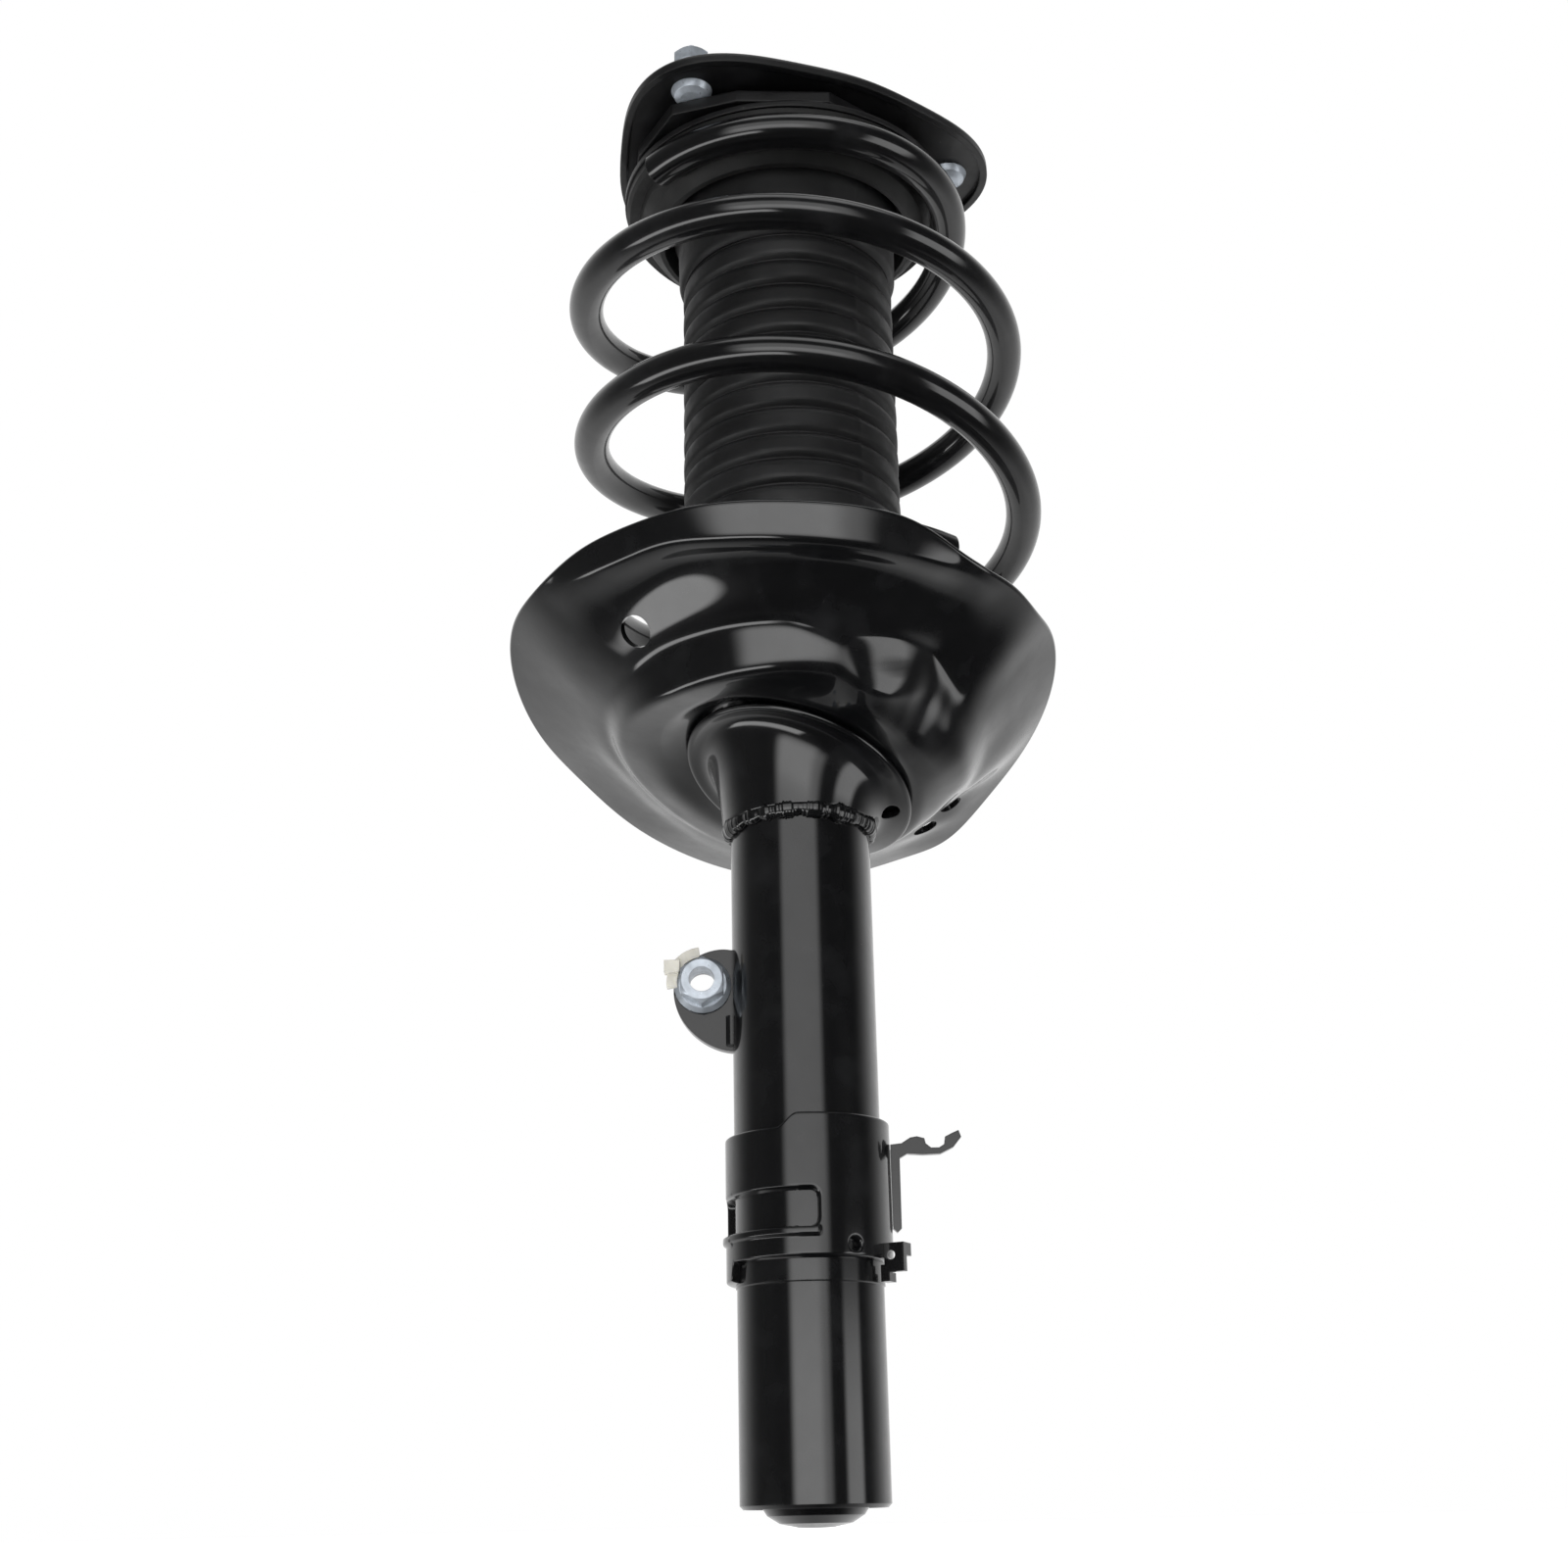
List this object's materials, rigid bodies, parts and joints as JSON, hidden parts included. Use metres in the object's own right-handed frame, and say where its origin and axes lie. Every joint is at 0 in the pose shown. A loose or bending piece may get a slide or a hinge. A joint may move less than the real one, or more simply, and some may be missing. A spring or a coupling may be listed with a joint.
{
  "type": "strut assembly",
  "caption": "Front suspension strut with coil spring, tilted spring pan, dust boot, top mount with studs, link ear and hose bracket.",
  "frame": {"origin": "on the strut tube's axis, 40 mm above the tube's bottom rim, inside the plain length that the knuckle clamps", "axes": "+Z along the tube towards the top mount, -Y towards the side where the spring pan is highest, +X towards the hose bracket"},
  "size_m": [0.206, 0.1935, 0.549],
  "materials": {
    "gloss_black": "gloss",
    "satin_black": "satin",
    "spring_coat": "gloss",
    "boot_rubber": "matte",
    "isolator_rubber": "matte",
    "seal_rubber": "satin",
    "bump_foam": "matte",
    "zinc": "satin",
    "rod_chrome": "polished",
    "inner_steel": "satin",
    "nylon": "matte",
    "ptfe": "matte"
  },
  "bodies": {
    "strut_tube": {"outer_tube": "gloss_black", "end_cap": "gloss_black", "pressure_tube": "inner_steel", "base_valve": "inner_steel", "base_valve_rivet": "inner_steel", "rod_guide": "inner_steel", "rod_seal": "seal_rubber", "closure_cap": "gloss_black", "hose_sleeve": "gloss_black", "hose_hook": "gloss_black", "clip_tab": "gloss_black", "link_bracket": "gloss_black", "link_weld": "gloss_black", "link_nut": "zinc", "nut_retainer": "nylon", "spring_pan": "gloss_black", "pan_support": "gloss_black", "pan_weld": "gloss_black", "lower_isolator": "isolator_rubber", "coil_spring": "spring_coat", "dust_boot": "boot_rubber"},
    "upper_seat": {"upper_isolator": "isolator_rubber", "upper_seat": "satin_black", "bearing_lower": "inner_steel", "bearing_balls": "inner_steel", "bearing_cage": "nylon"},
    "top_mount": {"bearing_upper": "inner_steel", "mount_plate": "satin_black", "mount_shell": "satin_black", "mount_core": "inner_steel", "mount_rubber": "isolator_rubber", "index_pin": "zinc", "piston_rod": "rod_chrome", "piston": "inner_steel", "piston_band": "ptfe", "piston_nut": "zinc", "rebound_stop": "seal_rubber", "stop_cup": "satin_black", "bump_stop": "bump_foam", "rod_nut": "zinc", "stud_a": "zinc", "stud_b": "zinc", "stud_c": "zinc", "stud_nut_a": "zinc", "stud_nut_b": "zinc", "stud_nut_c": "zinc"}
  },
  "joints": [
    {"name": "strut_travel", "type": "slide", "parent": "strut_tube", "child": "upper_seat", "axis": [0, 0, 1], "range_m": [-0.12, 0], "stiffness_N_per_m": 25000, "springref_m": 0.04, "deforming": ["coil_spring", "dust_boot", "bump_stop"]},
    {"name": "steer_swivel", "type": "hinge", "parent": "upper_seat", "child": "top_mount", "pos_m": [0, 0, 0.466], "axis": [0, 0, 1], "range_deg": [-42, 42]}
  ]
}
